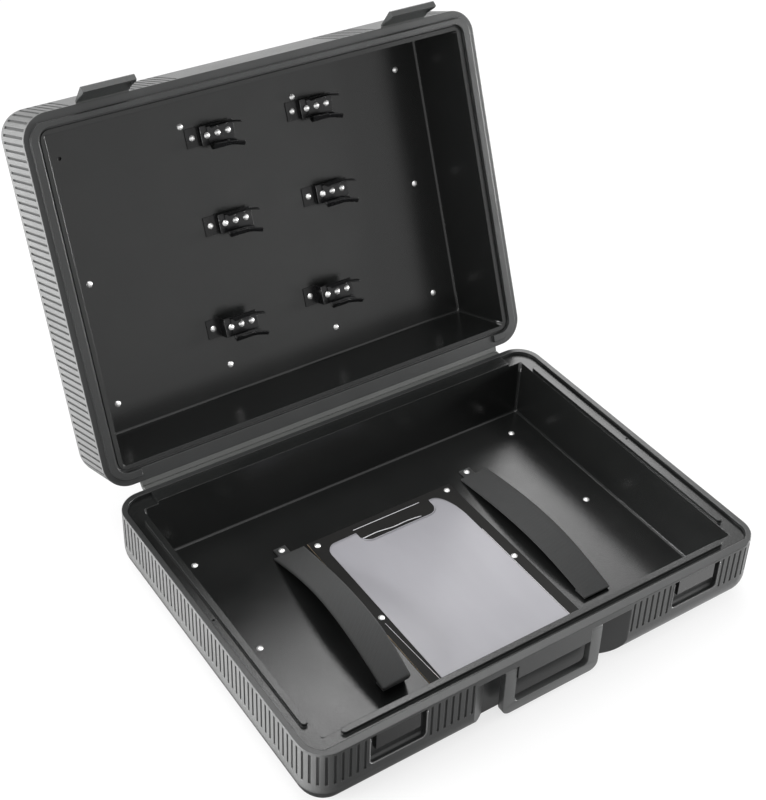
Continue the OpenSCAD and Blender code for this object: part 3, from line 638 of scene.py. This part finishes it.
def strap_edge(ground, back, front, tab_x, top, crest, end, inset):
    """One edge of a band from its back corner (x, y) to its front corner. In order: the straight
    tab, the arch, which sways sideways by a sine wave, the front fold as half a cosine wave that
    leads under the band, and the tab below it. end is the height of the front end."""
    (x0, y0), (x1, y1) = back, front
    t = np.linspace(0, 1, arch_rows)
    ease = t + sway * np.sin(2 * np.pi * t)
    turn = np.linspace(0, np.pi, fold_rows)[1:]
    drop = (1 - np.cos(turn)) / 2
    bulge = fold_bulge * np.sin(turn) ** 0.5 * (1 - drop)
    slope = min(fold_slope, 2 * end)
    inset = inset * min(1, end / full_fold)
    tab = line(tab_x, y0 + np.linspace(tab_length, 0.0002, tab_rows), ground)
    height = ground + edge_height(t, top, crest, end)
    arch = line(x0 + (x1 - x0) * ease, y0 + (y1 - y0) * t, height)
    fold_y = y1 - bulge + slope * drop**1.5
    fold = line(x1 + inset * drop, fold_y, ground + end * (1 - drop))
    under_y = y1 + slope + np.linspace(under_start, under_end, under_rows)
    return np.concatenate([tab, arch, fold, line(x1 + inset, under_y, ground)])


print("edge of a strap:", tab_rows + arch_rows + fold_rows - 1 + under_rows, "points")

# %% [markdown]
# The band lies between its two edges, a little higher along its middle. Solidify gives the webbing
# its thickness, and the length is measured along the middle of the finished surface.

# %% Straps
def strap_band(name, back, front, tops, crests, ends):
    """Webbing band between a left and a right edge, which are mixed by u. On the arch a parabola in
    u times a sine along the strap crowns the middle. Each argument holds a left and a right value."""
    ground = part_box(name)[0][2] + lay_height
    edges = [
        strap_edge(
            ground,
            back[side],
            front[side],
            back[0][0] + tab_inset + side * tab_width,
            tops[side],
            crests[side],
            ends[side],
            fold_inset[side],
        )
        for side in (0, 1)
    ]
    u = np.linspace(0, 1, 17)
    points = (1 - u)[:, None, None] * edges[0] + u[:, None, None] * edges[1]
    wave = np.sin(np.pi * np.linspace(0, 1, arch_rows))
    arch = slice(tab_rows, tab_rows + arch_rows)
    points[:, arch, 2] += band_crown * (u * (1 - u))[:, None] * wave[None, :]
    middle = points[len(u) // 2]
    steps = np.linalg.norm(np.diff(middle, axis=0), axis=1)
    length = np.concatenate([[0], np.cumsum(steps)])
    uv = np.empty((*points.shape[:2], 2))
    uv[..., 0], uv[..., 1] = points[..., 0] - points[0, :, 0][None, :], length[None, :]
    piece = grid_mesh(name + "_webbing", points, strap_webbing, uv)
    thick = piece.modifiers.new("thickness", "SOLIDIFY")
    thick.thickness, thick.offset = band_gauge, 0.0
    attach(piece, "base")
    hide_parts(name)


strap_band(
    "strap_left",
    back=((-0.1252, 0.0925), (-0.0911, 0.0925)),
    front=((-0.1340, -0.1110), (-0.1045, -0.1110)),
    tops=(0.0270, 0.0274),
    crests=(0.53, 0.72),
    ends=(0.0150, 0.0168),
)
strap_band(
    "strap_right",
    back=((0.1010, 0.0925), (0.1350, 0.0925)),
    front=((0.0990, -0.1106), (0.1300, -0.1106)),
    tops=(0.0110, 0.0143),
    crests=(0.56, 0.56),
    ends=(0.0021, 0.0021),
)

# %% [markdown]
# ## Pocket window
# The front of the pocket is a vinyl sheet, painted pale grey for the reflection it shows, and welded
# to the board along three sides. Its back edge dips to a thumb opening, which could be cut out with a
# Boolean. It is simpler to let the sheet follow its own edge: one number is x across it, the other is
# the share of the way from its front edge to its back edge, so the opening is just a dip in the back
# edge.

# %% Back edge of the sheet
film_low, film_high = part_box("pocket_front")
board_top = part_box("pocket_backing")[1][2]
back_middle, back_slant = 0.0824, 0.025
thumb_half, thumb_low, thumb_round, thumb_mid = 0.045, 0.0645, 0.011, 0.008
corner_across, corner_along = (0.011, 0.017), (0.013, 0.040)
beside = 0.0002


def back_edge(x):
    """y of the sheet's back edge at x: a nearly straight line, a quarter of an ellipse at each
    corner, and lower by a rounded rectangle in the thumb opening."""
    y = back_middle + back_slant * x
    for side, a, b in zip((-1, 1), corner_across, corner_along):
        into = np.clip(side * x - (film_high[0] - a), 0, a) / a
        y = y - b * (1 - np.sqrt(1 - into**2))
    inside = thumb_half - np.abs(x - thumb_mid)
    rounding = np.clip(thumb_round - inside, 0, thumb_round)
    thumb = thumb_low + thumb_round - np.sqrt(thumb_round**2 - rounding**2)
    return np.where(inside >= 0, thumb, y)


def film_columns():
    """x values across the sheet, close together where the back edge turns."""
    turn = 1 - np.cos(np.linspace(0, np.pi / 2, 25))
    thumb = (thumb_mid - thumb_half, thumb_mid + thumb_half)
    parts = [film_low[0] + corner_across[0] * turn, film_high[0] - corner_across[1] * turn]
    parts += [thumb[0] + thumb_round * turn, thumb[1] - thumb_round * turn]
    parts += [np.array([thumb[0] - beside, thumb[1] + beside])]
    parts += [np.linspace(film_low[0], film_high[0], 40)]
    return np.unique(np.round(np.concatenate(parts), 6))


x = film_columns()
print("columns across the sheet:", len(x))

# %% [markdown]
# The sheet lies on the board in shallow waves that fade out towards the welds. Two slanting sine
# waves, multiplied, give such hollows without a direction of their own. Its flat size is that of its
# outline.

# %% Vinyl sheet
film_gauge, film_lift, film_waves = 0.0004, 0.0003, 0.00025
v = np.linspace(0, 1, 60)
points = np.empty((len(x), len(v), 3))
points[..., 0] = x[:, None]
points[..., 1] = film_low[1] + v[None, :] * (back_edge(x)[:, None] - film_low[1])
film_x, film_y = points[..., 0], points[..., 1]
fade = np.clip(1 - (film_x / film_high[0]) ** 8, 0, 1)
first_wave, second_wave = np.sin(30 * film_x + 21 * film_y), np.sin(37 * film_y - 11 * film_x)
ripple = 0.5 + 0.5 * first_wave * second_wave
points[..., 2] = board_top + film_lift + film_waves * fade * ripple
film = grid_mesh("pocket_window", points, pocket_film)
thick = film.modifiers.new("thickness", "SOLIDIFY")
thick.thickness, thick.offset = film_gauge, 0.0
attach(film, "base")
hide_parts("pocket_front")

# %% [markdown]
# The weld of the sheet is a thin bead along its edge. A bead is a tube: a circle of small radius
# carried along a path, in the plane that stands square to the path. A curve object with a round
# bevel gives the same tube, but a grid keeps all the new pieces alike.

# %% Tube along a path
def tube(name, path, radius, finish, body, sides=8, normal=(0, 0, 1)):
    """A tube along an open path of points: at each point a circle in the plane of `normal` and of
    the direction square to both the path and `normal`. Its ends shrink almost to a point."""
    closing = 0.05
    path = np.asarray(path, float)
    along = np.gradient(path, axis=0)
    along /= np.linalg.norm(along, axis=1)[:, None]
    up = np.array(normal, float)
    side = np.cross(along, up)
    side /= np.linalg.norm(side, axis=1)[:, None]
    size = np.full(len(path), radius)
    path = np.concatenate([path[:1], path, path[-1:]])
    side = np.concatenate([side[:1], side, side[-1:]])
    size = np.concatenate([[radius * closing], size, [radius * closing]])
    angle = np.linspace(0, 2 * np.pi, sides, endpoint=False)
    ring = np.cos(angle)[:, None, None] * side[None] + np.sin(angle)[:, None, None] * up[None, None]
    points = path[None] + size[None, :, None] * ring
    piece = grid_mesh(name, points, finish, closed_u=True)
    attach(piece, body)


print("tube helper ready")

# %% [markdown]
# Five beads lie on the pocket: the two side welds, the thick lip of the thumb opening, and behind
# it the straight edge and the wavy fold of the inner sheet. The welds and the inner edge and fold are
# pale, a painted highlight along them; the lip has the sheet's own finish. Each path is a line or a
# wave in x.

# %% Beads
weld_out, weld_radius = 0.0008, 0.00022
for side, label, far, spread in ((-1, "left", -0.036, 0.05), (1, "right", 0.020, 0.0)):
    along = np.linspace(film_low[1] + 0.001, far, 12)
    weld_x = side * (film_high[0] + weld_out + spread * (along - film_low[1]))
    path = line(weld_x, along, board_top + 0.0002)
    tube("film_weld_" + label, path, weld_radius, film_edge_highlight, "base")

thumb_x = x[np.abs(x - thumb_mid) < thumb_half - 0.0004]
path = line(thumb_x, back_edge(thumb_x) + 0.0001, board_top + 0.0008)
tube("film_thumb_lip", path, 0.0006, pocket_film, "base")

t = np.linspace(0, 1, 40)
path = line(-0.0372 + 0.0800 * t, 0.0862 - 0.0004 * t, board_top + 0.0005)
tube("inner_film_edge", path, 0.0004, film_edge_highlight, "base")
wave = 0.0010 * np.sin(9 * t) * np.sin(np.pi * t)
path = line(-0.0350 + 0.0680 * t, 0.0712 - 0.0035 * t**2 + wave, board_top + 0.0006)
tube("inner_film_fold", path, 0.0005, film_edge_highlight, "base")

# %% [markdown]
# ## Moulded radii
# The trays are formed from one sheet, so their floor runs into the walls, and the walls into each
# other, through small radii that catch the light as thin pale lines. A Bevel modifier on the tray
# would round its rim as well, so the radii are a piece of their own, laid into the tray. They are one
# surface for each tray: its rows follow the radius up from the floor, its columns go round the tray.

# %% Radii inside the trays
per_corner = 9


def tray_radii(name, floor_half, slope, top, place, body, radius=0.0026, corner=0.0032):
    """Radii along the floor and in the upright corners of a tray with sloping walls.
    floor_half is the half width and half depth of the floor, slope is how far a wall leans out for
    each metre up, and top is how high the corners go. Row p has the profile point (out, up) of an arc
    that touches floor and wall. Each row is a rectangle of half size floor_half + out, whose corners
    are rounded so that their centres stand still. place turns (x, y, up) into the part's frame."""
    lean = math.hypot(1, slope)
    middle = slope * radius - radius * lean
    arc = np.linspace(-np.pi / 2, -math.atan(slope), per_corner)
    out = middle + radius * np.cos(arc)
    up = radius + radius * np.sin(arc)
    meet = out[-1]
    climb = np.array([0.25, 0.5, 0.75, 1.0]) * (top - up[-1]) + up[-1]
    outs = np.concatenate([out, slope * climb])
    ups = np.concatenate([up, climb])
    rounds = np.concatenate([corner - (meet - out), np.full(len(climb), corner)])
    quarters = [np.linspace(k * np.pi / 2, (k + 1) * np.pi / 2, per_corner) for k in range(4)]
    turns = np.concatenate(quarters)
    circle = np.stack([np.cos(turns), np.sin(turns)], -1)
    signs = np.repeat([(1, 1), (-1, 1), (-1, -1), (1, -1)], per_corner, axis=0)
    half = np.array(floor_half)[None, None] + outs[:, None, None] - rounds[:, None, None]
    flat = signs[None] * half + rounds[:, None, None] * circle[None]
    tips = signs * (np.array(floor_half) + outs[-1])
    flat = np.concatenate([flat, tips[None]])
    ups = np.concatenate([ups, ups[-1:]])
    points = place(line(flat[..., 0], flat[..., 1], ups[:, None]))
    rows, cols = points.shape[:2]
    index = np.arange(rows * cols).reshape(rows, cols)
    following = np.roll(index, -1, axis=1)
    quads = np.stack([index[:-1], following[:-1], following[1:], index[1:]], -1)
    last_of_corner = (np.arange(cols) % per_corner) == per_corner - 1
    keep = np.ones(quads.shape[:2], bool)
    keep[len(arc) - 1 :, last_of_corner] = False
    faces = [tuple(int(i) for i in q) for q in quads[keep]]
    mesh = bpy.data.meshes.new(name)
    mesh.from_pydata([tuple(p) for p in points.reshape(-1, 3)], [], faces)
    work = bmesh.new()
    work.from_mesh(mesh)
    bmesh.ops.remove_doubles(work, verts=work.verts, dist=1e-6)
    bmesh.ops.delete(work, geom=[v for v in work.verts if not v.link_faces], context="VERTS")
    work.to_mesh(mesh)
    work.free()
    mesh.polygons.foreach_set("use_smooth", np.ones(len(mesh.polygons), bool))
    mesh.materials.append(tray_plastic)
    piece = in_scene(name, mesh)
    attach(piece, body)
    print(name, len(mesh.polygons), "faces")
    return piece


print("rows of a radius:", per_corner)

# %% [markdown]
# The base tray lies flat, but the lid tray is upside down on an open lid. Both are worked out
# lying flat, and a function for each turns the points to their place. Turning the lid tray over also
# turns its surface inside out, so its faces are flipped back.

# %% Radii in both trays
floor_z, panel_z = 0.005, 0.14715
wall_lean, base_wall, lid_wall = 0.0056, 0.06486, 0.07701


def in_base(points):
    """Base tray: heights count from the tray floor."""
    return points + np.array([0, 0, floor_z])


def in_lid(points):
    """Lid tray: heights count down from the lid panel. The closed lid is then turned open about the
    hinge: y and z are mixed by the cosine and the sine of the angle."""
    y = points[..., 1] - hinge.y
    z = panel_z - points[..., 2] - hinge.z
    c, s = math.cos(-opened), math.sin(-opened)
    return line(points[..., 0], hinge.y + c * y - s * z, hinge.z + s * y + c * z)


tray_radii("base_tray_radii", (0.2230, 0.1570), wall_lean / base_wall, 0.0613, in_base, "base")
lid_floor = (0.2238, 0.1578)
lid_radii = tray_radii("lid_tray_radii", lid_floor, wall_lean / lid_wall, 0.0769, in_lid, "lid")
lid_radii.data.flip_normals()
print("lid radii reach", round(max(v.co.z for v in lid_radii.data.vertices), 4), "m up")

# %% [markdown]
# ## Spring clips
# Each clip is one strip of spring steel: a flat base under the rivets and two arms that swell,
# pinch and flare again, so that they grip a round shank. The arms run on past the base as two
# prongs. Base and arms are three small surfaces in one mesh, and Solidify gives the sheet its gauge.
# The arm towards the hinge is bent out more than the other one, as on a spring that has been used.

# %% Shape of a clip spring
gauge = 0.001
spring_start, spring_end, prong_end = 0.015, 0.045, 0.0505
arm_low, arm_high, shoulder_rise, prong_drop = gauge / 2, 0.0115, 0.0035, 0.0040
shoulder_length, step_start, step_length, prong_rise = 0.004, 0.031, 0.003, 0.0052
arm_away, swell_height, flare_start, flare_height = 0.0083, 0.012, 0.0105, 0.0045
splay_start, splay_length = 0.034, 0.0165
base_half = 0.0084
bent_arm, straight_arm = (0.0060, 0.0050, 0.0040), (0.0014, 0.0022, -0.0026)


def arm_bow(up, swell, flare):
    """Distance of an arm from the middle of the clip at a height: a sine wave that swells and
    pinches, and a square term that flares the free edge."""
    flared = np.clip((up - flare_start) / flare_height, 0, None) ** 2
    return arm_away + swell * np.sin(np.pi * up / swell_height) + flare * flared


def arm_surface(side):
    """One arm: u runs along the clip, v from the lower edge to the free edge. The free edge rises to
    a shoulder and steps down towards the prong, by the smooth step 3s^2 - 2s^3. The lower edge leaves
    the base and rises to the prong's tip, and the prong splays by a power of its length."""
    swell, flare, splay = straight_arm if side > 0 else bent_arm
    u = np.linspace(spring_start, prong_end, 33)
    v = np.linspace(0, 1, 19)
    step = np.clip((u - step_start) / step_length, 0, 1)
    shoulder = np.clip((u - spring_start) / shoulder_length, 0, 1)
    top = arm_high + shoulder_rise * shoulder - prong_drop * step * step * (3 - 2 * step)
    rise = np.clip((u - spring_end) / (prong_end - spring_end), 0, 1)
    low = arm_low + prong_rise * rise**0.7
    up = low[:, None] + (top - low)[:, None] * v[None, :]
    spread = splay * np.clip((u - splay_start) / splay_length, 0, 1) ** 1.5
    away = side * (arm_bow(up, swell, flare) + spread[:, None])
    return line(u[:, None], away, up)


def base_surface():
    """The flat base between the arms: u along the clip, v across it."""
    u, v = np.linspace(spring_start, spring_end, 9), np.linspace(-1, 1, 9)
    return line(u[:, None], v[None, :] * base_half, gauge / 2)


print("arm and base:", arm_surface(1).shape, base_surface().shape)

# %% [markdown]
# The six clips are alike and stand in three rows of two. The row nearest the hinge is mounted on
# higher brackets. A thin pale tube on the bend where each bracket leaves the panel is a painted
# highlight.

# %% Clip springs
clip_places = [
    (-0.0553, 0.3024, 0.006),
    (0.0618, 0.3024, 0.006),
    (-0.0553, 0.2102, 0.006),
    (0.0618, 0.2102, 0.006),
    (-0.0762, 0.1048, 0.014),
    (0.0410, 0.1048, 0.014),
]
bend_at, bend_half, bend_radius = 0.0079, 0.0098, 0.0003


def on_panel(local, place):
    """Turns (along, away, up) of a clip into the part's frame; place is its x, its distance from
    the hinge along the lid, and how far it stands off the panel."""
    x, far, stand = place
    return in_lid(line(x + local[..., 0], hinge.y - far - local[..., 1], stand + local[..., 2]))


origin, off_panel = np.zeros(3), np.array([0.0, 0.0, 1.0])
panel_normal = on_panel(off_panel, (0, 0, 0)) - on_panel(origin, (0, 0, 0))
bend = line(bend_at, np.linspace(-bend_half, bend_half, 5), -0.00025)

for k, place in enumerate(clip_places, 1):
    surfaces = (arm_surface(-1), arm_surface(1), base_surface())
    parts = [grid_mesh("part", on_panel(points, place), clip_metal) for points in surfaces]
    flat_faces = parts[2].data.polygons
    flat_faces.foreach_set("use_smooth", np.zeros(len(flat_faces), bool))
    work = bmesh.new()
    for part in parts:
        work.from_mesh(part.data)
        bpy.data.objects.remove(part)
    mesh = bpy.data.meshes.new(f"clip_spring_{k}_bent")
    work.to_mesh(mesh)
    work.free()
    mesh.materials.append(clip_metal)
    piece = in_scene(mesh.name, mesh)
    sheet = piece.modifiers.new("gauge", "SOLIDIFY")
    sheet.thickness, sheet.offset = gauge, 0.0
    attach(piece, "lid")
    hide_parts(f"clip_spring_{k}")
    path = on_panel(bend, place)
    tube(f"clip_bend_{k}", path, bend_radius, painted_highlight_plastic, "lid", normal=panel_normal)
print("clips:", len(clip_places))

# %% [markdown]
# ## Latch notches
# Each notch in the front wall has a fine raised lip, moulded round its sides and its lower edge. It
# is one more tube, whose path goes down one side, round two corners and up the other side. Its pale
# colour is a painted highlight along the lip.

# %% Notch lips
notch_away = 0.1667


def notch_path(middle, half=0.0285, low=0.0345, high=0.0655, turn_r=0.0045, front=-0.1840):
    """Points down one side of the notch, round its two lower corners and up the other side."""
    a = np.linspace(np.pi, 3 * np.pi / 2, 8)
    left = np.stack([middle - half + turn_r + turn_r * np.cos(a), low + turn_r + turn_r * np.sin(a)], -1)
    right = np.stack([2 * middle - left[::-1, 0], left[::-1, 1]], -1)
    flat = np.concatenate([[(middle - half, high)], left, right, [(middle + half, high)]])
    return np.stack([flat[:, 0], np.full(len(flat), front), flat[:, 1]], -1)


for side, label in ((-1, "left"), (1, "right")):
    path, inwards = notch_path(side * notch_away), (0, 1, 0)
    tube("notch_lip_" + label, path, 0.0007, painted_highlight_plastic, "base", normal=inwards)
print("lip path:", path.shape)

# %% [markdown]
# The floor of a notch runs into its back wall through a radius, like the trays. It is a quarter
# round, carried straight from one side of the notch to the other.

# %% Notch floor radii
def notch_floor(middle, half=0.0280, low=0.035, deep=-0.1788, radius=0.0032):
    """Hollow quarter round between the floor of a notch and its back wall, from side to side."""
    turn = np.linspace(0, np.pi / 2, 9)
    across = np.linspace(middle - half, middle + half, 5)
    depth = deep - radius + radius * np.sin(turn)
    height = low + radius - radius * np.cos(turn)
    return line(across[:, None], depth[None, :], height[None, :])


for side, label in ((-1, "left"), (1, "right")):
    piece = grid_mesh("notch_floor_" + label, notch_floor(side * notch_away), shell_plastic)
    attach(piece, "base")
print("notch floor:", len(piece.data.polygons), "faces")

# %% [markdown]
# ## The end of the lesson
# The dressed part should stay within the box of its imported solids. That box is printed when the
# solids are loaded, and the last line prints how far the box of what is shown grows past it.

# %% Finish
look_low, look_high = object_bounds()
pairs = zip((*cad_low, *cad_high), (*look_low, *look_high))
print("grows by", [round(1000 * (b - a), 2) for a, b in pairs], "mm")
